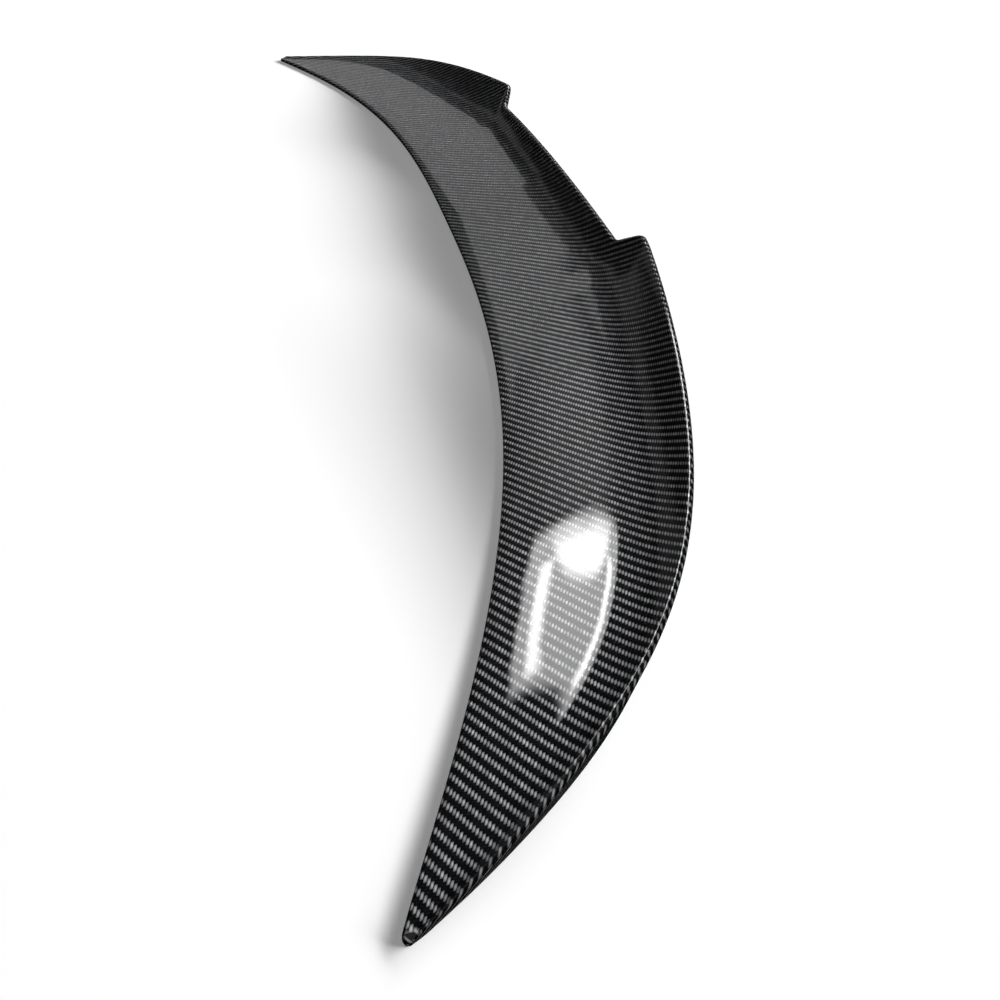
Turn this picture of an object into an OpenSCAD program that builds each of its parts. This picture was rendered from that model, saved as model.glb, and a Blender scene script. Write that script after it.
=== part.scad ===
// Rear spoiler for a boot lid: one moulded carbon-fibre shell, open underneath.
// X runs across the car, +Y points rearwards, +Z up. The rim stands on Z = 0, the lid.
// The origin is the middle of the bonding land behind the leading edge.

/* [Leading edge] */
// Width from tip to tip
span = 1280; // [1160:5:1400]
// How far the leading edge bows rearwards between the tips
lead_bow = 112; // [90:1:130]
// How late the bow turns in to the tips
lead_power = 2.7; // [2.2:0.05:3.2]
// How gently the leading edge runs out at a tip
lead_ease = 1.08; // [0.95:0.01:1.2]
// Height of the leading edge's own face
edge_h = 3; // [2.6:0.1:4]
// Rounding along the top of the leading edge
edge_round = 1.4; // [0.6:0.1:2]

/* [Trailing edge] */
// Distance from the centre to the inner end of a horn
horn_x = 208; // [190:1:240]
// Distance of the horns behind the tips
horn_y = 208; // [190:0.5:225]
// Distance from the centre to the shoulder, where the trailing edge turns forward
shoulder_x = 533; // [500:1:560]
// Distance of the shoulder's corner point behind the tips
shoulder_y = 155; // [140:1:165]
// How closely the trailing edge keeps to the shoulder's corner
shoulder_pull = 1.8; // [1:0.05:2.5]
// Depth of the tip from front to back
tip_depth = 5.8; // [4:0.1:8]
// Height of the shell at the tip
tip_h = 5; // [4:0.1:8]
// Height of the horns' line, carried on to the centre
crest_h = 58.4; // [52:0.2:66]
// How late the crest drops to the tips
crest_power = 2.3; // [2:0.05:3]
// How gently the crest runs out at a tip
crest_ease = 1.09; // [1:0.01:1.3]
// Radius along the top of the crest
crest_round = 2.2; // [1.5:0.1:3]
// Undercut of the rear face, in degrees
rear_lean = 20; // [10:0.5:22]

/* [Notch] */
// Distance from the centre to the foot of a horn's inner end
notch_x = 182; // [150:1:184]
// Distance of the notch's crest behind the tips
notch_y = 198; // [194:0.5:202]
// Height of the notch's crest at the centre
notch_h = 46; // [42:0.2:50]
// How much lower the notch's crest is beside the horns
notch_crown = 4.5; // [0:0.5:8]

/* [Deck and lip] */
// Slope of the deck at the centre, in degrees
deck_pitch = 18.6; // [14:0.2:21]
// Slope of the deck at the tips, in degrees
deck_pitch_tip = 9.4; // [6:0.2:14]
// Depth of the lip's face at the centre, from its foot to the crest
lip_run = 21; // [17:0.5:25]
// How tight the fold between deck and lip is at the centre
fold_tight = 3.2; // [1.5:0.1:5]
// How tight that fold is at the tips
fold_tight_tip = 1; // [0.8:0.1:1.6]

/* [Shell] */
// Thickness of the moulded wall
wall = 2.5; // [1.6:0.1:3]
// Width of the flat bonding land behind the leading edge
land_w = 10; // [6:0.5:14]
// Length of each tip that is solid
tip_solid = 30; // [22:1:50]
// Length over which a tip's nose is rounded
nose_round = 3; // [1:0.5:5]

/* [Hidden] */
half = span / 2;
horn_slope = (horn_y - shoulder_y) / (shoulder_x - horn_x);
kink = 4;          // softening where the horns' line meets the straight back, in mm of depth
ramp_soft = 0.2;   // softening of a horn's inner end, as a part of its length
nose_left = 0.35;  // part of the section that is left at the very end of a tip
roof_gap = 2;      // flat roof of the hollow below the crest
fold_steps = 14;
hollow_steps = 8;
crest_steps = 6;
edge_steps = 3;

function along(x) = min(1, abs(x) / half);
function mix(a, b, k) = a + (b - a) * k;
function unit(v) = v / norm(v);
// A ramp that starts at zero with a rounded corner of half-width r
function soft(v, r) = v <= -r ? 0 : v >= r ? v : pow(v + r, 2) / (4 * r);

// Plan of the two edges, measured back from the line through the tips
function lead_y(x) = lead_bow * pow(1 - pow(along(x), lead_power), lead_ease);
function horn_t(x) =
    let (a = horn_x - x, b = shoulder_pull * (shoulder_x - x), c = half - x, m = 2 * (b - a))
    -2 * a / (m + sqrt(m * m - 4 * (a - 2 * b + c) * a));
function conic(p, q, r, w, t) =
    (p * pow(1 - t, 2) + q * 2 * w * t * (1 - t) + r * t * t)
    / (pow(1 - t, 2) + 2 * w * t * (1 - t) + t * t);
function horn_line(x) = x < horn_x ? horn_y + horn_slope * (horn_x - x)
    : conic(horn_y, shoulder_y, tip_depth, shoulder_pull, horn_t(x));
function back_y(x) = horn_y - soft(horn_y - horn_line(abs(x)), kink);

// The crest: the horns' line, cut down to the notch between them
function drop(x) = pow(1 - pow(along(x), crest_power), crest_ease);
function horn_z(x) = tip_h + (crest_h - tip_h) * drop(x);
function notch_z(x) = notch_h - notch_crown * pow(min(1, abs(x) / notch_x), 2);
function horn_part(x) =
    let (v = (abs(x) - notch_x) / (horn_x - notch_x))
    soft(v, ramp_soft) - soft(v - 1, ramp_soft);
function crest(x) = [
    mix(notch_y, back_y(x), horn_part(x)),
    mix(notch_z(x), horn_z(x), horn_part(x))
];

// Points that carry one section, as [y, z]
function chord(x) = back_y(x) - lead_y(x);
function edge_r(x) = min(edge_round, chord(x) / 4);
function deck_start(x) = [lead_y(x) + edge_r(x), edge_h];
function deck_slope(x) = tan(mix(deck_pitch_tip, deck_pitch, pow(1 - along(x), 1.3)));
function lip_foot(x) =
    let (y = back_y(x) - lip_run * chord(x) / chord(0), p = deck_start(x))
    [y, p[1] + deck_slope(x) * (y - p[0])];
function fold(x) = mix(fold_tight_tip, fold_tight, 1 - pow(along(x), 3));
function crest_r(x) = min(crest_round, tip_h * 0.4, chord(x) / 12);
function crest_mid(x) = crest(x) - [crest_r(x), crest_r(x)];
function rear_foot(x) = [back_y(x) - tan(rear_lean) * (horn_z(x) - crest_r(x)), 0];

// Angle, at the crest's centre, where a line from p touches its rounding (side 1 front, -1 rear)
function touch_angle(p, x, side) =
    let (d = crest_mid(x) - p)
    atan2(d[1], d[0]) + side * (asin(crest_r(x) / norm(d)) + 90);
function crest_point(x, a) = crest_mid(x) + crest_r(x) * [cos(a), sin(a)];

// Outer section from the front foot over the crest to the rear foot
function outer(x) =
    let (r = edge_r(x), c = deck_start(x) - [0, r], foot = lip_foot(x),
         a = touch_angle(foot, x, 1), b = touch_angle(rear_foot(x), x, -1),
         slope_a = 90 + atan(deck_slope(x)))
    concat(
        [[lead_y(x), 0]],
        [for (i = [0:edge_steps]) c + r * [cos(mix(180, slope_a, i / edge_steps)),
                                           sin(mix(180, slope_a, i / edge_steps))]],
        [for (i = [1:fold_steps - 1])
            conic(deck_start(x), foot, crest_point(x, a), fold(x), i / fold_steps)],
        [for (i = [0:crest_steps]) crest_point(x, mix(a, b, i / crest_steps))],
        [rear_foot(x)]
    );

// Hollow section from the land up over the roof and down the rear wall
function turn(v) = [v[1], -v[0]];
function hollow(x) =
    let (p0 = deck_start(x), p1 = lip_foot(x), foot = rear_foot(x),
         p2 = crest_point(x, touch_angle(p1, x, 1)),
         p3 = crest_point(x, touch_angle(foot, x, -1)),
         deck = unit(p1 - p0), lip = unit(p2 - p1), rear = unit(p3 - foot), in = -turn(rear),
         n1 = turn(deck), n2 = turn(lip),
         corner = p1 + wall * (n1 + n2) / (1 + n1 * n2),
         front_y = lead_y(x) + land_w,
         front = [front_y, corner[1] - (corner[0] - front_y) * deck[1] / deck[0]],
         roof = corner + lip * ((wall + roof_gap - (corner - foot) * in) / (lip * in)),
         back_top = foot + in * wall + rear * ((roof[1] - roof_gap) / rear[1]),
         back_foot = foot + [wall / in[0], 0])
    concat(
        [[front_y, 0]],
        [for (i = [0:hollow_steps]) conic(front, corner, roof, fold(x), i / hollow_steps)],
        [back_top, back_foot]
    );

// A tip's nose shrinks its section towards the middle of its base
function nose(x) =
    let (k = max(0, (abs(x) - half + nose_round) / nose_round)) 1 - (1 - nose_left) * k * k;
function place(x, section) =
    let (k = nose(x), m = (lead_y(x) + back_y(x)) / 2)
    [for (p = section) [x, m + (p[0] - m) * k - lead_bow - land_w / 2, p[1] * k]];

// Stations across the car, closer together at the horns' ends and the tips
hollow_x = half - tip_solid;
ramp_in = notch_x - 8;
ramp_out = horn_x + 10;
function spread(a, b, n) = [for (i = [1:n]) mix(a, b, i / n)];
right = concat(
    spread(0, ramp_in, 8),
    spread(ramp_in, ramp_out, 16),
    spread(ramp_out, hollow_x, 22),
    spread(hollow_x, half - nose_round, 4),
    [for (i = [1:3]) half - nose_round * (1 - sin(30 * i))]
);
stations = concat([for (i = [len(right) - 1:-1:0]) -right[i]], [0], right);
solid_n = 7;                          // stations of each solid tip, outside the hollow
first = solid_n;
last = len(stations) - 1 - solid_n;

module spoiler_shell() {
    m = len(outer(0));
    k = len(hollow(0));
    n = len(stations);
    base = n * m;
    out_pts = [for (x = stations) each place(x, outer(x))];
    in_pts = [for (i = [first:last]) each place(stations[i], hollow(stations[i]))];
    function o(i, j) = i * m + j;
    function h(i, j) = base + (i - first) * k + j;
    function quad(a, b, c, d) = [[a, b, c], [a, c, d]];
    skin = [for (i = [0:n - 2], j = [0:m - 2])
        each quad(o(i, j), o(i, j + 1), o(i + 1, j + 1), o(i + 1, j))];
    inside = [for (i = [first:last - 1], j = [0:k - 2])
        each quad(h(i, j), h(i + 1, j), h(i + 1, j + 1), h(i, j + 1))];
    lands = [for (i = [first:last - 1])
        each concat(quad(o(i, 0), o(i + 1, 0), h(i + 1, 0), h(i, 0)),
                    quad(h(i, k - 1), h(i + 1, k - 1), o(i + 1, m - 1), o(i, m - 1)))];
    tips = [for (i = [0:n - 2]) if (i < first - 1 || i > last)
        each quad(o(i, 0), o(i + 1, 0), o(i + 1, m - 1), o(i, m - 1))];
    // Each of these starts at the corner from which its whole outline is in sight
    joins = [
        [o(first - 1, 0), o(first, 0), h(first, 0), h(first, k - 1), o(first, m - 1),
         o(first - 1, m - 1)],
        [o(last + 1, 0), o(last + 1, m - 1), o(last, m - 1), h(last, k - 1), h(last, 0),
         o(last, 0)],
        [for (j = [0:k - 1]) h(first, (j + k - 1) % k)],
        [for (j = [k - 1:-1:0]) h(last, j)],
        [for (j = [m - 1:-1:0]) o(0, j)],
        [for (j = [0:m - 1]) o(n - 1, (j + m - 1) % m)]
    ];
    color("#1b1c1e")
        polyhedron(points = concat(out_pts, in_pts),
                   faces = concat(skin, inside, lands, tips, joins), convexity = 6);
}

spoiler_shell();
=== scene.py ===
import math

import bmesh
import bpy
import numpy as np
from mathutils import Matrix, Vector


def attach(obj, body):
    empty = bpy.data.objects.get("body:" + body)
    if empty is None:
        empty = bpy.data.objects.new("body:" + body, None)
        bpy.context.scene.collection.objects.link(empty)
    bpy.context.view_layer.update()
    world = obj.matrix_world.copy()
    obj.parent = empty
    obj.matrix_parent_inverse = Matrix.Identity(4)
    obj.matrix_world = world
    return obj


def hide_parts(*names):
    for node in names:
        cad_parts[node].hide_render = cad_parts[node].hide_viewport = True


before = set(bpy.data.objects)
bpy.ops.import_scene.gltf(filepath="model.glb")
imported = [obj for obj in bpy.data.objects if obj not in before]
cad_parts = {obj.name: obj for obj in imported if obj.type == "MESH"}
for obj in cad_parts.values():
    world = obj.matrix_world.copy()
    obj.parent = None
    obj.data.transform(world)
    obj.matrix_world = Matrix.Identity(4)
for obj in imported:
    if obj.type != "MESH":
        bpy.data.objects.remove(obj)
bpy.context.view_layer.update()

mm = 0.001
print("frame loaded:", ", ".join(sorted(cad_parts)))


# A hex colour as it looks on screen, turned to the linear values that shaders want
def hexColour(code):
    parts = [int(code[i:i + 2], 16) / 255 for i in (1, 3, 5)]
    return tuple(c / 12.92 if c <= 0.04045 else ((c + 0.055) / 1.055) ** 2.4 for c in parts) + (1.0,)


# Adds one node. Sources go to its inputs in order, links to the inputs they name,
# and what comes back is the output that the next node needs.
def addNode(tree, kind, *sources, out=0, links=None, **settings):
    node = tree.nodes.new(kind)
    for name, value in settings.items():
        setattr(node, name, value)
    for key, value in [*enumerate(sources), *(links or {}).items()]:
        if isinstance(value, bpy.types.NodeSocket):
            tree.links.new(value, node.inputs[key])
        elif value is not None:
            node.inputs[key].default_value = value
    return node.outputs[out] if len(node.outputs) else node


def newMaterial(name):
    material = bpy.data.materials.new(name)
    material.use_nodes = True
    material.node_tree.nodes.clear()
    return material


# The moulded shell, in millimetres: its sections stand across the car, one at each station
shellSizes = {
    "span": 1280, "leadBow": 112, "leadPower": 2.7, "leadEase": 1.08,
    "edgeHeight": 3, "edgeRound": 1.4,
    "hornX": 208, "hornY": 208, "hornKink": 4, "rampSoft": 0.2,
    "shoulderX": 533, "shoulderY": 155, "shoulderPull": 1.8,
    "tipDepth": 5.8, "tipHeight": 5, "crestHeight": 58.4, "crestPower": 2.3, "crestEase": 1.09,
    "crestRound": 2.2, "rearLean": 20,
    "notchX": 182, "notchY": 198, "notchHeight": 46, "notchCrown": 4.5,
    "deckPitch": 18.6, "deckPitchTip": 9.4, "pitchPower": 1.3,
    "lipRun": 21, "foldTight": 3.2, "foldTightTip": 1, "foldPower": 3,
    "wall": 2.5, "landWidth": 10, "tipSolid": 30, "noseRound": 3, "noseLeft": 0.35, "roofGap": 2,
    "stationGap": 3.2, "rampGap": 0.8, "tipGap": 1.6, "rampBefore": 8, "rampAfter": 10, "noseSteps": 6,
    "edgeSteps": 4, "foldSteps": 44, "crestSteps": 5, "wallSteps": 6, "roofSteps": 16, "landSteps": 1,
    "weldGap": 0.001, "sharpAngle": 40,
    "clothFollows": 0.38, "towFacing": (-2.4, 80.6),
}


def mix(a, b, k):
    return a + (b - a) * k


# A ramp that starts at zero with a rounded corner of half-width r
def softRamp(v, r):
    return np.where(v <= -r, 0, np.where(v >= r, v, (v + r) ** 2 / (4 * r)))


# The point at t on a conic from p to r that bulges towards q, the more so the greater w is
def conicValue(p, q, r, w, t):
    shares = (1 - t) ** 2, 2 * w * t * (1 - t), t * t
    return (p * shares[0] + q * shares[1] + r * shares[2]) / sum(shares)


def leadingEdge(x, s):
    return s["leadBow"] * (1 - np.minimum(1, abs(x) * 2 / s["span"]) ** s["leadPower"]) ** s["leadEase"]


# Every rail that the sections hang on, as [y, z] at each station
def shellRails(x, s):
    half, reach = s["span"] / 2, np.abs(x)
    part = np.minimum(1, reach / half)
    lead = leadingEdge(x, s)
    slope = (s["hornY"] - s["shoulderY"]) / (s["shoulderX"] - s["hornX"])
    a, b, c = s["hornX"] - reach, s["shoulderPull"] * (s["shoulderX"] - reach), half - reach
    m = 2 * (b - a)
    turn = -2 * a / (m + np.sqrt(np.maximum(m * m - 4 * (a - 2 * b + c) * a, 0)))
    hornLine = np.where(reach < s["hornX"], s["hornY"] + slope * a,
                        conicValue(s["hornY"], s["shoulderY"], s["tipDepth"], s["shoulderPull"], turn))
    back = s["hornY"] - softRamp(s["hornY"] - hornLine, s["hornKink"])
    hornTop = mix(s["tipHeight"], s["crestHeight"], (1 - part ** s["crestPower"]) ** s["crestEase"])
    notchTop = s["notchHeight"] - s["notchCrown"] * np.minimum(1, reach / s["notchX"]) ** 2
    v = (reach - s["notchX"]) / (s["hornX"] - s["notchX"])
    onHorn = softRamp(v, s["rampSoft"]) - softRamp(v - 1, s["rampSoft"])
    crestY, crestZ = mix(s["notchY"], back, onHorn), mix(notchTop, hornTop, onHorn)

    # Both roundings shrink where the section gets small
    chord = back - lead
    edgeR = np.minimum(s["edgeRound"], chord / 4)
    crestR = np.minimum(np.minimum(s["crestRound"], s["tipHeight"] * 0.4), chord / 12)
    pitch = np.radians(mix(s["deckPitchTip"], s["deckPitch"], (1 - part) ** s["pitchPower"]))
    tight = mix(s["foldTightTip"], s["foldTight"], 1 - part ** s["foldPower"])
    deckY = lead + edgeR
    creaseY = back - s["lipRun"] * chord / (s["hornY"] - s["leadBow"])
    crease = np.stack([creaseY, s["edgeHeight"] + np.tan(pitch) * (creaseY - deckY)], 1)
    heel = np.stack([back - math.tan(math.radians(s["rearLean"])) * (hornTop - crestR), 0 * x], 1)
    mid = np.stack([crestY - crestR, crestZ - crestR], 1)

    def around(centre, radius, angle):
        return centre + radius[:, None] * np.stack([np.cos(angle), np.sin(angle)], 1)

    # Where a line from the point touches the crest's rounding, on its front (1) or its rear (-1)
    def touchAngle(point, sign):
        d = mid - point
        spread = np.arcsin(crestR / np.hypot(d[:, 0], d[:, 1])) + math.pi / 2
        return np.arctan2(d[:, 1], d[:, 0]) + sign * spread

    front, rear = touchAngle(crease, 1), touchAngle(heel, -1)
    quarter = (front - rear) / 4
    edgeMid = np.stack([deckY, s["edgeHeight"] - edgeR], 1)
    edgeTurn = (math.pi / 2 - pitch) / 2
    edgeTop = around(edgeMid, edgeR, math.pi / 2 + pitch)
    crestFront, crestTop = around(mid, crestR, front), around(mid, crestR, (front + rear) / 2)
    crestBack = around(mid, crestR, rear)

    # The hollow follows the skin one wall further in
    def unit(d):
        return d / np.hypot(d[:, 0], d[:, 1])[:, None]

    def side(d):
        return np.stack([d[:, 1], -d[:, 0]], 1)

    def dot(d, e):
        return (d * e).sum(1)[:, None]

    deckStart = np.stack([deckY, s["edgeHeight"] + 0 * x], 1)
    deck, lip, wallUp = unit(crease - deckStart), unit(crestFront - crease), unit(crestBack - heel)
    inwards = -side(wallUp)
    corner = crease + s["wall"] * (side(deck) + side(lip)) / (1 + dot(side(deck), side(lip)))
    landY = lead + s["landWidth"]
    roofFront = np.stack([landY, corner[:, 1] - (corner[:, 0] - landY) * deck[:, 1] / deck[:, 0]], 1)
    roofPeak = corner + lip * (s["wall"] + s["roofGap"] - dot(corner - heel, inwards)) / dot(lip, inwards)
    wallTop = heel + inwards * s["wall"] + wallUp * (roofPeak[:, 1:] - s["roofGap"]) / wallUp[:, 1:]
    # In the solid tips the two land lines run on as fixed shares of the depth
    hair = 1e-6                            # keeps rounding from losing a station
    inTip = reach > half - s["tipSolid"] - hair
    edge = np.flatnonzero(inTip & (x > 0))[0]
    toe = np.stack([lead, 0 * x], 1)
    depth = heel[:, 0] - lead
    landShare = np.where(inTip, s["landWidth"] / depth[edge], s["landWidth"] / depth)
    footShare = 1 + s["wall"] / inwards[:, 0] / depth
    footShare = np.where(inTip, footShare[edge], footShare)
    rails = {
        "toe": toe,
        "edgeLow": around(edgeMid, edgeR, math.pi + 0 * x),
        "edgePull": around(edgeMid, edgeR / np.cos(edgeTurn), math.pi - edgeTurn),
        "edgeTop": edgeTop,
        "crease": crease,
        "crestFront": crestFront,
        "crestPullFront": around(mid, crestR / np.cos(quarter), front - quarter),
        "crestTop": crestTop,
        "crestPullBack": around(mid, crestR / np.cos(quarter), rear + quarter),
        "crestBack": crestBack,
        "heel": heel,
        "wallFoot": np.stack([lead + depth * footShare, 0 * x], 1),
        "wallTop": wallTop,
        "roofPeak": roofPeak,
        "roofPull": corner,
        "roofFront": roofFront,
        "landInner": np.stack([lead + depth * landShare, 0 * x], 1),
    }
    weights = {"edgeWeight": np.cos(edgeTurn), "foldWeight": tight, "crestWeight": np.cos(quarter),
               "straight": 0 * x}
    # A tip's nose draws its section in towards the middle of its base
    close = np.maximum(0, (reach - half + s["noseRound"]) / s["noseRound"])
    keep = 1 - (1 - s["noseLeft"]) * close ** 2
    middle = (lead + back) / 2
    for name, points in rails.items():
        y = middle + (points[:, 0] - middle) * keep - s["leadBow"] - s["landWidth"] / 2
        rails[name] = np.stack([x, y, points[:, 1] * keep], 1) * mm
    return rails, weights


# Stations across the car, closer together at the horns' ends and the tips
def stationLine(s):
    half = s["span"] / 2
    rampStart, rampEnd = s["notchX"] - s["rampBefore"], s["hornX"] + s["rampAfter"]
    stretches = [(0, rampStart, s["stationGap"]), (rampStart, rampEnd, s["rampGap"]),
                 (rampEnd, half - s["tipSolid"], s["stationGap"]),
                 (half - s["tipSolid"], half - s["noseRound"], s["tipGap"])]
    right = [0.0]
    for start, end, gap in stretches:
        count = math.ceil((end - start) / gap)
        right += [start + (end - start) * i / count for i in range(1, count + 1)]
    turns = [math.radians(90 * i / s["noseSteps"]) for i in range(1, s["noseSteps"] + 1)]
    right += [half - s["noseRound"] * (1 - math.sin(turn)) for turn in turns]
    right = np.array(right)
    return np.concatenate([-right[:0:-1], right])


# One strip of skin between two rails, bulging towards a third as a conic does
def conicStripGroup():
    tree = bpy.data.node_groups.new("conicStrip", "GeometryNodeTree")
    for name, kind in (("Rails", "Geometry"), ("From", "String"), ("Pull", "String"), ("To", "String"),
                       ("Weight", "String"), ("Steps", "Int"), ("Strip Number", "Int")):
        tree.interface.new_socket(name, in_out="INPUT", socket_type="NodeSocket" + kind)
    tree.interface.new_socket("Strip", in_out="OUTPUT", socket_type="NodeSocketGeometry")
    given = tree.nodes.new("NodeGroupInput").outputs
    stations = addNode(tree, "GeometryNodeAttributeDomainSize", given["Rails"])
    rows = addNode(tree, "ShaderNodeMath", given["Steps"], 1.0, operation="ADD")
    grid = addNode(tree, "GeometryNodeMeshGrid", 1.0, 1.0, stations, rows)
    index = addNode(tree, "GeometryNodeInputIndex")
    ratio = addNode(tree, "ShaderNodeMath", index, rows, operation="DIVIDE")
    hair = 1e-4                            # keeps rounding from losing a row
    nudged = addNode(tree, "ShaderNodeMath", ratio, hair, operation="ADD")
    station = addNode(tree, "ShaderNodeMath", nudged, operation="FLOOR")
    firstOfRow = addNode(tree, "ShaderNodeMath", station, rows, operation="MULTIPLY")
    step = addNode(tree, "ShaderNodeMath", index, firstOfRow, operation="SUBTRACT")
    t = addNode(tree, "ShaderNodeMath", step, given["Steps"], operation="DIVIDE")
    rest = addNode(tree, "ShaderNodeMath", 1.0, t, operation="SUBTRACT")
    weightName = addNode(tree, "GeometryNodeInputNamedAttribute", given["Weight"], data_type="FLOAT")
    weight = addNode(tree, "GeometryNodeSampleIndex", given["Rails"], weightName, station, data_type="FLOAT")
    both = addNode(tree, "ShaderNodeMath", t, rest, operation="MULTIPLY")
    pulled = addNode(tree, "ShaderNodeMath", both, weight, operation="MULTIPLY")
    shares = [addNode(tree, "ShaderNodeMath", rest, rest, operation="MULTIPLY"),
              addNode(tree, "ShaderNodeMath", pulled, 2.0, operation="MULTIPLY"),
              addNode(tree, "ShaderNodeMath", t, t, operation="MULTIPLY")]
    twoShares = addNode(tree, "ShaderNodeMath", shares[0], shares[1], operation="ADD")
    total = addNode(tree, "ShaderNodeMath", twoShares, shares[2], operation="ADD")
    inverse = addNode(tree, "ShaderNodeMath", 1.0, total, operation="DIVIDE")
    place = None
    for railName, share in zip(("From", "Pull", "To"), shares):
        rail = addNode(tree, "GeometryNodeInputNamedAttribute", given[railName], data_type="FLOAT_VECTOR")
        point = addNode(tree, "GeometryNodeSampleIndex", given["Rails"], rail, station,
                        data_type="FLOAT_VECTOR")
        part = addNode(tree, "ShaderNodeVectorMath", point, links={"Scale": share}, operation="SCALE")
        place = part if place is None else addNode(tree, "ShaderNodeVectorMath", place, part, operation="ADD")
    place = addNode(tree, "ShaderNodeVectorMath", place, links={"Scale": inverse}, operation="SCALE")
    shape = addNode(tree, "GeometryNodeSetPosition", grid, links={"Position": place})
    numberName = addNode(tree, "GeometryNodeInputNamedAttribute", "stationNumber", data_type="INT")
    number = addNode(tree, "GeometryNodeSampleIndex", given["Rails"], numberName, station, data_type="INT")
    for name, value in (("stationNumber", number), ("stripNumber", given["Strip Number"])):
        shape = addNode(tree, "GeometryNodeStoreNamedAttribute", shape, data_type="INT",
                        links={"Name": name, "Value": value})
    addNode(tree, "NodeGroupOutput", shape)
    return tree


# The strips in the order in which a section is walked: over the skin, then back through the hollow
skinStrips = [
    ("toe", "toe", "edgeLow", "straight", "Wall Steps"),
    ("edgeLow", "edgePull", "edgeTop", "edgeWeight", "Edge Steps"),
    ("edgeTop", "crease", "crestFront", "foldWeight", "Fold Steps"),
    ("crestFront", "crestPullFront", "crestTop", "crestWeight", "Crest Steps"),
    ("crestTop", "crestPullBack", "crestBack", "crestWeight", "Crest Steps"),
    ("crestBack", "crestBack", "heel", "straight", "Wall Steps"),
    ("heel", "heel", "wallFoot", "straight", "Land Steps"),
]
hollowStrips = [
    ("wallFoot", "wallFoot", "wallTop", "straight", "Wall Steps"),
    ("wallTop", "wallTop", "roofPeak", "straight", "Land Steps"),
    ("roofPeak", "roofPull", "roofFront", "foldWeight", "Roof Steps"),
    ("roofFront", "roofFront", "landInner", "straight", "Wall Steps"),
]
tipStrip = ("wallFoot", "wallFoot", "landInner", "straight", "Land Steps")
landStrip = ("landInner", "landInner", "toe", "straight", "Land Steps")


def shellLoftTree():
    tree = bpy.data.node_groups.new("shellLoft", "GeometryNodeTree")
    sockets = [("Rails", "Geometry"), ("Hollow Reach", "Float"), ("Wall Steps", "Int"), ("Edge Steps", "Int"),
               ("Fold Steps", "Int"), ("Crest Steps", "Int"), ("Roof Steps", "Int"), ("Land Steps", "Int"),
               ("Skin", "Material"), ("Back", "Material")]
    for name, kind in sockets:
        tree.interface.new_socket(name, in_out="INPUT", socket_type="NodeSocket" + kind)
    tree.interface.new_socket("Shell", in_out="OUTPUT", socket_type="NodeSocketGeometry")
    given = tree.nodes.new("NodeGroupInput").outputs
    stripGroup = conicStripGroup()
    position = addNode(tree, "GeometryNodeInputPosition")
    across = addNode(tree, "ShaderNodeSeparateXYZ", position)
    reach = addNode(tree, "ShaderNodeMath", across, operation="ABSOLUTE")
    slack = 1e-5                           # metres, so that the hollow's last stations count on both sides
    outside = addNode(tree, "ShaderNodeMath", given["Hollow Reach"], slack, operation="ADD")
    inside = addNode(tree, "ShaderNodeMath", given["Hollow Reach"], slack, operation="SUBTRACT")
    minusX = addNode(tree, "ShaderNodeMath", across, -1.0, operation="MULTIPLY")
    overHollow = addNode(tree, "ShaderNodeMath", reach, outside, operation="LESS_THAN")
    hollow = addNode(tree, "GeometryNodeSeparateGeometry", given["Rails"], overHollow)
    tips = []
    for along in (minusX, across):
        pastHollow = addNode(tree, "ShaderNodeMath", along, inside, operation="GREATER_THAN")
        tips.append(addNode(tree, "GeometryNodeSeparateGeometry", given["Rails"], pastHollow))
    plan = [(strip, given["Rails"]) for strip in skinStrips]
    plan += [(strip, hollow) for strip in hollowStrips]
    plan += [(tipStrip, tip) for tip in tips]
    plan.append((landStrip, given["Rails"]))
    join = addNode(tree, "GeometryNodeJoinGeometry").node
    for number, ((start, pull, end, weight, steps), rails) in enumerate(plan):
        strip = addNode(tree, "GeometryNodeGroup", node_tree=stripGroup, links={
            "Rails": rails, "From": start, "Pull": pull, "To": end, "Weight": weight,
            "Steps": given[steps], "Strip Number": number})
        tree.links.new(strip, join.inputs[0])
    smooth = addNode(tree, "GeometryNodeSetShadeSmooth", join.outputs[0])
    shape = addNode(tree, "GeometryNodeRealizeInstances", smooth)
    # The hollow's strips get the bare back of the cloth, all the others its lacquered skin
    number = addNode(tree, "GeometryNodeInputNamedAttribute", "stripNumber", data_type="INT")
    backStart, backEnd = len(skinStrips) - 0.5, len(skinStrips) + len(hollowStrips) - 0.5
    pastSkin = addNode(tree, "ShaderNodeMath", number, backStart, operation="GREATER_THAN")
    beforeTips = addNode(tree, "ShaderNodeMath", number, backEnd, operation="LESS_THAN")
    onBack = addNode(tree, "ShaderNodeMath", pastSkin, beforeTips, operation="MULTIPLY")
    for finish, selected in (("Skin", True), ("Back", onBack)):
        shape = addNode(tree, "GeometryNodeSetMaterial", shape, selected, given[finish])
    addNode(tree, "NodeGroupOutput", shape)
    return tree, len(plan)


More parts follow.
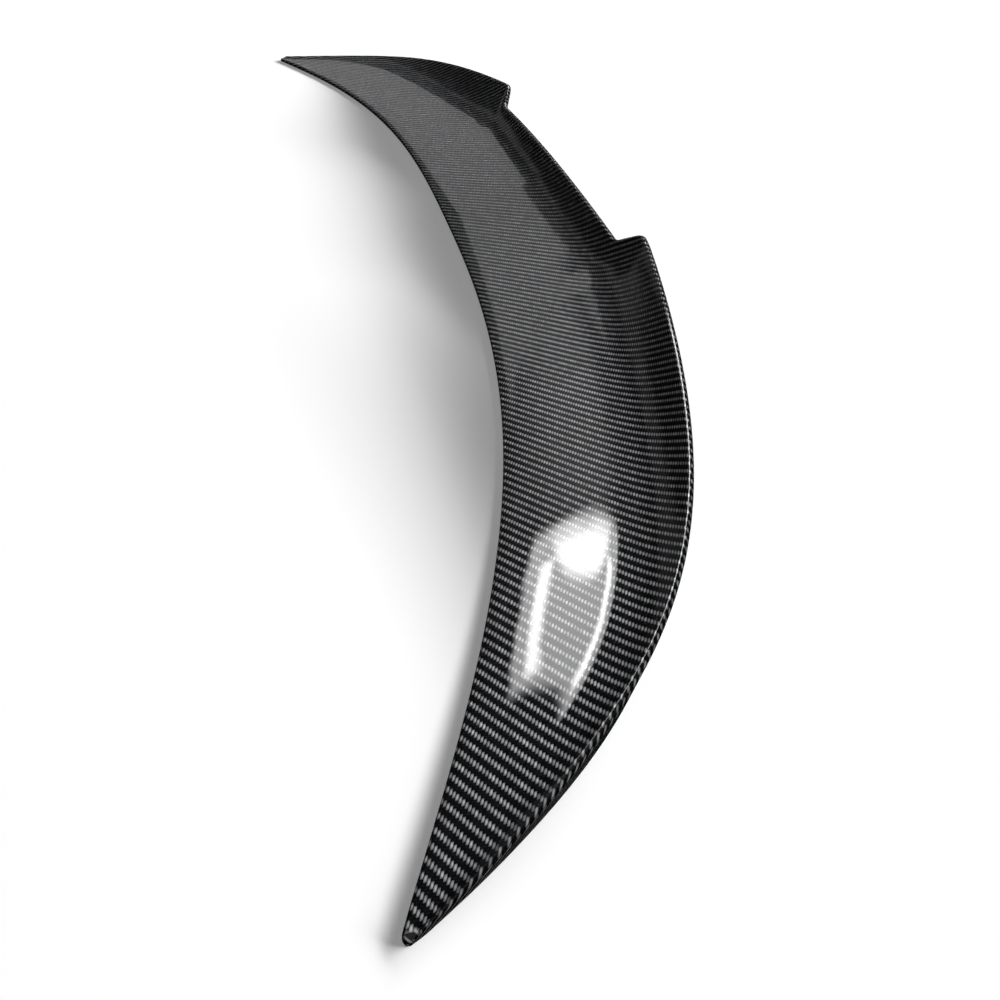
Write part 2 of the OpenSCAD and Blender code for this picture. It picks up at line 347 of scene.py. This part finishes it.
# Puts the rails on a line of points, lofts the skin between them and welds it shut
def buildShell(s, skinFinish, backFinish):
    x = stationLine(s)
    rails, weights = shellRails(x, s)
    guide = bpy.data.meshes.new("shellRails")
    guide.from_pydata([(v * mm, 0, 0) for v in x], [], [])
    for name, points in rails.items():
        guide.attributes.new(name, "FLOAT_VECTOR", "POINT").data.foreach_set("vector", points.ravel())
    for name, values in weights.items():
        guide.attributes.new(name, "FLOAT", "POINT").data.foreach_set("value", values)
    guide.attributes.new("stationNumber", "INT", "POINT").data.foreach_set("value", np.arange(len(x)))
    shell = bpy.data.objects.new("carbonShell", guide)
    bpy.context.scene.collection.objects.link(shell)
    tree, stripCount = shellLoftTree()
    loft = shell.modifiers.new("shellLoft", "NODES")
    loft.node_group = tree
    values = {"Hollow Reach": (s["span"] / 2 - s["tipSolid"]) * mm, "Wall Steps": s["wallSteps"],
              "Edge Steps": s["edgeSteps"], "Fold Steps": s["foldSteps"], "Crest Steps": s["crestSteps"],
              "Roof Steps": s["roofSteps"], "Land Steps": s["landSteps"],
              "Skin": skinFinish, "Back": backFinish}
    for item in tree.interface.items_tree:
        if item.name in values:
            loft[item.identifier] = values[item.name]
    evaluated = shell.evaluated_get(bpy.context.evaluated_depsgraph_get())
    mesh = bpy.data.meshes.new_from_object(evaluated)
    shell.modifiers.remove(loft)
    shell.data = mesh
    layCloth(mesh, x, stripCount, s)
    weldShell(mesh, s)
    print("shell lofted:", len(mesh.polygons), "faces")
    return shell


# Cloth is laid a little askew and pulled along the leading edge, which shears it, so that its two families
# of tows don't cross quite square. The map holds how far across each family a point lies, in metres.
def layCloth(mesh, x, stripCount, s):
    place = np.empty(len(mesh.vertices) * 3)
    mesh.vertices.foreach_get("co", place)
    place = place.reshape(-1, 3)
    station = np.empty(len(place), int)
    strip = np.empty(len(place), int)
    mesh.attributes["stationNumber"].data.foreach_get("value", station)
    mesh.attributes["stripNumber"].data.foreach_get("value", strip)
    walked = np.zeros(len(place))          # length walked over the section, from the toe
    reached = np.zeros(len(x))
    for number in range(stripCount):
        members = np.flatnonzero(strip == number)
        rows = len(np.unique(station[members]))
        grid = members.reshape(rows, -1)
        steps = np.linalg.norm(np.diff(place[grid], axis=1), axis=2)
        here = station[grid[:, 0]]
        walked[grid[:, 0]] = reached[here]
        walked[grid[:, 1:]] = reached[here][:, None] + np.cumsum(steps, axis=1)
        reached[here] = walked[grid[:, -1]]
    followed = (leadingEdge(x, s) - s["leadBow"]) * s["clothFollows"]
    along = np.concatenate([[0], np.cumsum(np.hypot(np.diff(x), np.diff(followed)))])
    along -= np.interp(0, x, along)
    offset = leadingEdge(x, s) - s["leadBow"] - followed
    straight = np.stack([along[station] * mm, walked + offset[station] * mm], 1)
    facing = np.radians(s["towFacing"])
    cloth = straight @ np.stack([np.cos(facing), np.sin(facing)])
    corners = np.empty(len(mesh.loops), int)
    mesh.loops.foreach_get("vertex_index", corners)
    mesh.uv_layers.new(name="clothMap").data.foreach_set("uv", cloth[corners].ravel())


# Merges the edges that the strips share, and caps the ends of the hollow and the tips
def weldShell(mesh, s):
    shape = bmesh.new()
    shape.from_mesh(mesh)
    bmesh.ops.remove_doubles(shape, verts=shape.verts, dist=s["weldGap"] * mm)
    openEdges = [edge for edge in shape.edges if edge.is_boundary]
    caps = bmesh.ops.holes_fill(shape, edges=openEdges, sides=0)["faces"]
    cloth = shape.loops.layers.uv["clothMap"]
    for face in caps:
        for corner in face.loops:
            corner[cloth].uv = corner.vert.co.yz
    bmesh.ops.triangulate(shape, faces=caps)
    shape.to_mesh(mesh)
    shape.free()
    for name in ("stationNumber", "stripNumber"):
        mesh.attributes.remove(mesh.attributes[name])
    mesh.set_sharp_from_angle(angle=math.radians(s["sharpAngle"]))


# Carbon tows, woven two over and two under, drowned in clear lacquer that was sanded and polished flat.
# The eye meets rows of short pale floats between black ones, under sharp reflections. The carbon itself is
# black: the pale and grey tones of the floats are painted sheen, palest on the tows that run along, and they
# fade to the black gap towards each tow's edges as painted shade. The resin round the fibres is as dense as
# the lacquer, so it adds no sheen of its own. A tow's filaments are far too fine to show, so a few broad
# strands stand for them.
twillLook = {
    "towPitch": (1.54 * mm, 1.32 * mm),
    # The two float colours are painted sheen on black carbon; the gap is the carbon's own black
    "gap": "#060607", "alongFloatSheen": "#e2e4e7", "acrossFloatSheen": "#232426",
    "floatSpread": 0.45, "fibresAcross": 7.0, "fibreDepth": 0.4, "crownPower": 1.2, "archPower": 0.9,
    "fibreRoughness": 0.42, "fibreMetal": 0.6, "fibreSheen": 0.0, "relief": 0.06 * mm,
    "coatRoughness": 0.01, "coatIor": 1.5, "peelWidth": 14 * mm, "peelHeight": 0.012 * mm,
}
twillRepeat, floatLength = 4.0, 2.0        # counted in tows


# Tows of one direction: where they lie on top, how they swell, and the shade of each float and its fibres
def towGroup():
    tree = bpy.data.node_groups.new("twillTows", "ShaderNodeTree")
    for name in ("Along", "Across", "Phase", "Float Spread", "Fibres Across", "Fibre Depth", "Crown Power",
                 "Arch Power"):
        tree.interface.new_socket(name, in_out="INPUT", socket_type="NodeSocketFloat")
    for name in ("On Top", "Swell", "Shade"):
        tree.interface.new_socket(name, in_out="OUTPUT", socket_type="NodeSocketFloat")
    given = tree.nodes.new("NodeGroupInput").outputs
    tow = addNode(tree, "ShaderNodeMath", given["Across"], operation="FLOOR")
    shifted = addNode(tree, "ShaderNodeMath", given["Along"], tow, operation="SUBTRACT")
    phased = addNode(tree, "ShaderNodeMath", shifted, given["Phase"], operation="SUBTRACT")
    place = addNode(tree, "ShaderNodeMath", phased, twillRepeat, operation="FLOORED_MODULO")
    onTop = addNode(tree, "ShaderNodeMath", place, floatLength, operation="LESS_THAN")
    across = addNode(tree, "ShaderNodeMath", given["Across"], operation="FRACT")
    acrossTurn = addNode(tree, "ShaderNodeMath", across, math.pi, operation="MULTIPLY")
    bulge = addNode(tree, "ShaderNodeMath", acrossTurn, operation="SINE")
    crown = addNode(tree, "ShaderNodeMath", bulge, given["Crown Power"], operation="POWER")
    alongTurn = addNode(tree, "ShaderNodeMath", place, math.pi / floatLength, operation="MULTIPLY")
    wave = addNode(tree, "ShaderNodeMath", alongTurn, operation="SINE")
    arch = addNode(tree, "ShaderNodeMath", wave, 0.0, operation="MAXIMUM")
    soft = addNode(tree, "ShaderNodeMath", arch, given["Arch Power"], operation="POWER")
    swell = addNode(tree, "ShaderNodeMath", crown, soft, operation="MULTIPLY")

    repeats = addNode(tree, "ShaderNodeMath", phased, twillRepeat, operation="DIVIDE")
    floatNumber = addNode(tree, "ShaderNodeMath", repeats, operation="FLOOR")
    floatPlace = addNode(tree, "ShaderNodeCombineXYZ", tow, floatNumber, given["Phase"])
    chance = addNode(tree, "ShaderNodeTexWhiteNoise", floatPlace, noise_dimensions="3D")
    loss = addNode(tree, "ShaderNodeMath", chance, given["Float Spread"], operation="MULTIPLY")
    floatShade = addNode(tree, "ShaderNodeMath", 1.0, loss, operation="SUBTRACT")
    fibre = addNode(tree, "ShaderNodeMath", given["Across"], given["Fibres Across"], operation="MULTIPLY")
    fibrePlace = addNode(tree, "ShaderNodeCombineXYZ", given["Along"], fibre, given["Phase"])
    streak = addNode(tree, "ShaderNodeTexNoise", links={"Vector": fibrePlace, "Scale": 1.0, "Detail": 1.0})
    dip = addNode(tree, "ShaderNodeMath", streak, given["Fibre Depth"], operation="MULTIPLY")
    fibreShade = addNode(tree, "ShaderNodeMath", 1.0, dip, operation="SUBTRACT")
    shade = addNode(tree, "ShaderNodeMath", floatShade, fibreShade, operation="MULTIPLY")
    result = tree.nodes.new("NodeGroupOutput")
    for name, value in (("On Top", onTop), ("Swell", swell), ("Shade", shade)):
        tree.links.new(value, result.inputs[name])
    return tree


# The woven surface in a material: its colour, and how high its tows swell. The colour is black gaps with
# painted sheen on the floats, which fades to black towards each tow's edges.
def weaveCloth(tree, look):
    cloth = addNode(tree, "ShaderNodeUVMap", uv_map="clothMap")
    pitch = (*look["towPitch"], 1.0)
    tows = addNode(tree, "ShaderNodeVectorMath", cloth, pitch, operation="DIVIDE")
    split = addNode(tree, "ShaderNodeSeparateXYZ", tows).node.outputs
    group = bpy.data.node_groups.get("twillTows") or towGroup()
    grain = [look[name] for name in ("floatSpread", "fibresAcross", "fibreDepth", "crownPower", "archPower")]
    along = addNode(tree, "ShaderNodeGroup", split[0], split[1], 0.0, *grain, node_tree=group).node.outputs
    across = addNode(tree, "ShaderNodeGroup", split[1], split[0], 1.0, *grain, node_tree=group).node.outputs
    swell, shade = (addNode(tree, "ShaderNodeMix", along["On Top"], links={2: across[name], 3: along[name]})
                    for name in ("Swell", "Shade"))
    # Painted sheen: the floats' tone, brighter on the tows that run along than on those across
    sheenTone = addNode(tree, "ShaderNodeMix", along["On Top"], data_type="RGBA", out=2, links={
        6: hexColour(look["acrossFloatSheen"]), 7: hexColour(look["alongFloatSheen"])})
    # Painted shade: the sheen fades to the black gap colour where a tow curves down at its edges and ends
    sheenShowing = addNode(tree, "ShaderNodeMath", swell, shade, operation="MULTIPLY")
    colour = addNode(tree, "ShaderNodeMix", sheenShowing, data_type="RGBA", out=2, links={
        6: hexColour(look["gap"]), 7: sheenTone})
    return colour, swell


def twillMaterial(look):
    material = newMaterial("clearCoatedTwillCarbon")
    tree = material.node_tree
    colour, swell = weaveCloth(tree, look)
    relief = addNode(tree, "ShaderNodeBump", links={"Height": swell, "Distance": look["relief"]})
    place = addNode(tree, "ShaderNodeTexCoord", out=3)
    peel = addNode(tree, "ShaderNodeTexNoise", links={
        "Vector": place, "Scale": 1 / look["peelWidth"], "Detail": 1.0})
    lacquer = addNode(tree, "ShaderNodeBump", links={"Height": peel, "Distance": look["peelHeight"]})
    shader = addNode(tree, "ShaderNodeBsdfPrincipled", links={
        "Base Color": colour, "Metallic": look["fibreMetal"], "Roughness": look["fibreRoughness"],
        "Specular IOR Level": look["fibreSheen"],
        "Normal": relief, "Coat Weight": 1.0, "Coat Roughness": look["coatRoughness"],
        "Coat IOR": look["coatIor"], "Coat Normal": lacquer})
    addNode(tree, "ShaderNodeOutputMaterial", shader)
    return material


# The same cloth from its back, as it leaves the mould: dry, dull and dark, with resin lying in the weave
backLook = {
    "towPitch": twillLook["towPitch"],
    # The floats' greys, lighter along than across, are painted sheen on the black carbon; the gap is its own
    # black
    "gap": "#0a0a0b", "alongFloatSheen": "#3a3b3d", "acrossFloatSheen": "#242527",
    "floatSpread": 0.35, "fibresAcross": 7.0, "fibreDepth": 0.5, "crownPower": 0.6, "archPower": 0.5,
    "roughness": (0.38, 0.75), "resinPatch": 18 * mm, "patchEdges": (0.35, 0.65), "relief": 0.15 * mm,
}


def backMaterial(look):
    material = newMaterial("bareTwillBack")
    tree = material.node_tree
    colour, swell = weaveCloth(tree, look)
    relief = addNode(tree, "ShaderNodeBump", links={"Height": swell, "Distance": look["relief"]})
    place = addNode(tree, "ShaderNodeTexCoord", out=3)
    patches = addNode(tree, "ShaderNodeTexNoise", links={
        "Vector": place, "Scale": 1 / look["resinPatch"], "Detail": 3.0})
    rough = addNode(tree, "ShaderNodeMapRange", patches, *look["patchEdges"], *look["roughness"])
    shader = addNode(tree, "ShaderNodeBsdfPrincipled", links={
        "Base Color": colour, "Roughness": rough, "Normal": relief})
    addNode(tree, "ShaderNodeOutputMaterial", shader)
    return material


shell = buildShell(shellSizes, twillMaterial(twillLook), backMaterial(backLook))
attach(shell, "root")
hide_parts("spoiler_shell")


# Directions are given as seen from the part: turn is degrees from straight along -X towards -Y, rise is
# degrees above the floor
def wayTo(turn, rise):
    turn, rise = math.radians(turn), math.radians(rise)
    return Vector((-math.cos(turn) * math.cos(rise), -math.sin(turn) * math.cos(rise), math.sin(rise)))


# The camera stands where the photograph was taken from, near one tip, and looks down along the part
cameraSizes = {"place": (0.8426, -0.1266, 0.2877), "turn": -11.092, "rise": -32.951,
               "lens": 39.6, "sensor": 36}


def standCamera(c):
    data = bpy.data.cameras.new("camera")
    data.lens, data.sensor_width = c["lens"], c["sensor"]
    camera = bpy.data.objects.new("camera", data)
    camera.location = c["place"]
    camera.rotation_euler = wayTo(c["turn"], c["rise"]).to_track_quat("-Z", "Y").to_euler()
    bpy.context.scene.collection.objects.link(camera)
    bpy.context.scene.camera = camera


standCamera(cameraSizes)
bpy.context.scene.view_settings.view_transform = "Standard"
print("camera set")

# A dark studio tent that only reflections see. A panel spans its turn and rise, fades over its edges and may
# lean, by degrees of turn for each degree of rise.
tentSizes = {"radius": 300.0, "dark": 0.006}
tentPanels = {
    "farWall": {"turn": (-4, 4.8), "rise": (15.8, 25.6), "edge": (0.4, 0.6), "lean": 0.0, "glow": 0.32},
    "wallTop": {"turn": (-4, 1.2), "rise": (25.6, 31.2), "edge": (2.2, 0.6), "lean": 0.0, "glow": 0.32},
    "softbox": {"turn": (0.7, 1.7), "rise": (31.9, 33.6), "edge": (0.5, 1.4), "lean": 0.0, "glow": 11.0},
    "twinBox": {"turn": (3.2, 3.8), "rise": (32.5, 36.3), "edge": (0.5, 0.5), "lean": 0.7, "glow": 12.0},
    "diffuser": {"turn": (1.7, 4.4), "rise": (31.4, 36.9), "edge": (0.5, 0.7), "lean": 0.7, "glow": 5.0},
    "narrowSlit": {"turn": (13.5, 17.5), "rise": (2, 26), "edge": (1.6, 3.0), "lean": 0.0, "glow": 0.09},
    "crestLight": {"turn": (-22, -5), "rise": (34, 60), "edge": (3.0, 3.0), "lean": 0.0, "glow": 9.0},
    "overhead": {"turn": (24, 80), "rise": (46, 80), "edge": (6.0, 6.0), "lean": 0.0, "glow": 2.0},
    "behindCamera": {"turn": (90, 270), "rise": (30, 75), "edge": (15.0, 15.0), "lean": 0.0, "glow": 0.35},
}


def tentMaterial(sizes, panels):
    material = newMaterial("studioTent")
    tree = material.node_tree
    place = addNode(tree, "ShaderNodeTexCoord", out=3)
    way = addNode(tree, "ShaderNodeVectorMath", place, operation="NORMALIZE")
    split = addNode(tree, "ShaderNodeSeparateXYZ", way).node.outputs
    minusX = addNode(tree, "ShaderNodeMath", split[0], -1.0, operation="MULTIPLY")
    minusY = addNode(tree, "ShaderNodeMath", split[1], -1.0, operation="MULTIPLY")
    turnAngle = addNode(tree, "ShaderNodeMath", minusY, minusX, operation="ARCTAN2")
    turn = addNode(tree, "ShaderNodeMath", turnAngle, operation="DEGREES")
    riseAngle = addNode(tree, "ShaderNodeMath", split[2], operation="ARCSINE")
    rise = addNode(tree, "ShaderNodeMath", riseAngle, operation="DEGREES")
    glow = sizes["dark"]
    for panel in panels.values():
        middle, level = sum(panel["turn"]) / 2, sum(panel["rise"]) / 2
        upright = addNode(tree, "ShaderNodeMath", rise, -panel["lean"], turn, operation="MULTIPLY_ADD")
        shift = 180 - middle + panel["lean"] * level
        offset = addNode(tree, "ShaderNodeMath", upright, shift, operation="ADD")
        wrapped = addNode(tree, "ShaderNodeMath", offset, 360.0, operation="FLOORED_MODULO")
        fromMiddle = addNode(tree, "ShaderNodeMath", wrapped, 180.0, operation="SUBTRACT")
        cover = None
        for value, centre, ends, edge in ((fromMiddle, 0, panel["turn"], panel["edge"][0]),
                                          (rise, level, panel["rise"], panel["edge"][1])):
            away = addNode(tree, "ShaderNodeMath", value, centre, operation="SUBTRACT")
            far = addNode(tree, "ShaderNodeMath", away, operation="ABSOLUTE")
            half = (ends[1] - ends[0]) / 2
            inside = addNode(tree, "ShaderNodeMapRange", far, half + edge / 2, half - edge / 2, 0.0, 1.0,
                             interpolation_type="SMOOTHSTEP")
            cover = inside if cover is None else addNode(tree, "ShaderNodeMath", cover, inside,
                                                         operation="MULTIPLY")
        part = addNode(tree, "ShaderNodeMath", cover, panel["glow"], operation="MULTIPLY")
        glow = addNode(tree, "ShaderNodeMath", part, glow, operation="ADD")
    light = addNode(tree, "ShaderNodeEmission", links={"Strength": glow})
    addNode(tree, "ShaderNodeOutputMaterial", light)
    return material


def hangTent(sizes, panels):
    shape = bmesh.new()
    bmesh.ops.create_uvsphere(shape, u_segments=96, v_segments=48, radius=sizes["radius"])
    mesh = bpy.data.meshes.new("studioTent")
    shape.to_mesh(mesh)
    shape.free()
    mesh.materials.append(tentMaterial(sizes, panels))
    tent = bpy.data.objects.new("studioTent", mesh)
    bpy.context.scene.collection.objects.link(tent)
    tent.visible_camera = tent.visible_diffuse = tent.visible_transmission = False
    tent.visible_shadow = tent.visible_volume_scatter = False


hangTent(tentSizes, tentPanels)
print("tent hung:", len(tentPanels), "panels")

# White air and a white floor. Rays from the camera and from glossy or clear surfaces see pure white,
# while what the air lends the scene as light stays low. Further out the floor's own glow rises to white.
# A black flag just above the floor, which only reflections see, keeps the part's lower edges dark.
studioSizes = {
    "airFill": 0.08,
    "floorReach": 12.0, "floorColour": "#f2f2f2", "floorGlow": 0.2, "glowRises": (1.2, 4.0),
    "flagReach": 11.5, "flagColour": "#050505", "flagLift": 0.2 * mm,
}


# One for rays from the camera and from glossy or clear surfaces, nought for all others
def seenRay(tree):
    ray = addNode(tree, "ShaderNodeLightPath").node.outputs
    seen = addNode(tree, "ShaderNodeMath", ray["Is Camera Ray"], ray["Is Glossy Ray"], operation="MAXIMUM")
    return addNode(tree, "ShaderNodeMath", seen, ray["Is Transmission Ray"], operation="MAXIMUM")


def fillAir(sizes):
    world = bpy.data.worlds.new("studioAir")
    bpy.context.scene.world = world
    world.use_nodes = True
    tree = world.node_tree
    tree.nodes.clear()
    level = addNode(tree, "ShaderNodeMix", seenRay(tree), links={2: sizes["airFill"], 3: 1.0})
    light = addNode(tree, "ShaderNodeBackground", links={"Strength": level, "Color": (1, 1, 1, 1)})
    addNode(tree, "ShaderNodeOutputWorld", light)


def squareCard(name, reach, height, material):
    mesh = bpy.data.meshes.new(name)
    corners = [(x * reach, y * reach, height) for x, y in ((-1, -1), (1, -1), (1, 1), (-1, 1))]
    mesh.from_pydata(corners, [], [(0, 1, 2, 3)])
    mesh.materials.append(material)
    card = bpy.data.objects.new(name, mesh)
    bpy.context.scene.collection.objects.link(card)
    return card


def layFloor(sizes):
    material = newMaterial("paperFloor")
    tree = material.node_tree
    place = addNode(tree, "ShaderNodeTexCoord", out=3)
    away = addNode(tree, "ShaderNodeVectorMath", place, out=1, operation="LENGTH")
    level = addNode(tree, "ShaderNodeMapRange", away, *sizes["glowRises"], sizes["floorGlow"], 1.0)
    glow = addNode(tree, "ShaderNodeMath", seenRay(tree), level, operation="MULTIPLY")
    own = addNode(tree, "ShaderNodeEmission", links={"Strength": glow})
    paper = addNode(tree, "ShaderNodeBsdfDiffuse", hexColour(sizes["floorColour"]))
    both = addNode(tree, "ShaderNodeAddShader", paper, own)
    addNode(tree, "ShaderNodeOutputMaterial", both)
    floor = squareCard("paperFloor", sizes["floorReach"], 0, material)
    return floor


def layFlag(sizes):
    material = newMaterial("blackFlagCloth")
    tree = material.node_tree
    cloth = addNode(tree, "ShaderNodeBsdfDiffuse", hexColour(sizes["flagColour"]))
    addNode(tree, "ShaderNodeOutputMaterial", cloth)
    flag = squareCard("blackFlag", sizes["flagReach"], sizes["flagLift"], material)
    flag.visible_camera = flag.visible_diffuse = flag.visible_transmission = flag.visible_shadow = False


floor = layFloor(studioSizes)
layFlag(studioSizes)
fillAir(studioSizes)

# Lamps: a sun from behind and above for the part, and a long low strip that only lights the floor and so
# draws the part's shadow forwards
lampSizes = {
    "key": {"turn": -100, "rise": 50, "strength": 3.4, "soft": 25, "away": 2.0},
    "strip": {"turn": -76, "rise": 17.5, "watts": 15000.0, "size": (30.0, 3.0), "away": 20.0},
}


def hangLamp(name, data, sizes, onlyOn):
    lamp = bpy.data.objects.new(name, data)
    towards = wayTo(sizes["turn"], sizes["rise"])
    lamp.rotation_euler = towards.to_track_quat("Z", "Y").to_euler()
    lamp.location = towards * sizes["away"]
    lamp.visible_glossy = lamp.visible_camera = False
    bpy.context.scene.collection.objects.link(lamp)
    lit = bpy.data.collections.new(name + "Lights")
    lit.objects.link(onlyOn)
    lamp.light_linking.receiver_collection = lit


def lightStudio(sizes):
    key = bpy.data.lights.new("keySun", "SUN")
    key.energy, key.angle = sizes["key"]["strength"], math.radians(sizes["key"]["soft"])
    hangLamp("keySun", key, sizes["key"], shell)
    strip = bpy.data.lights.new("lowStrip", "AREA")
    strip.shape = "RECTANGLE"
    strip.energy = sizes["strip"]["watts"]
    strip.size, strip.size_y = sizes["strip"]["size"]
    hangLamp("lowStrip", strip, sizes["strip"], floor)


lightStudio(lampSizes)
print("studio ready")
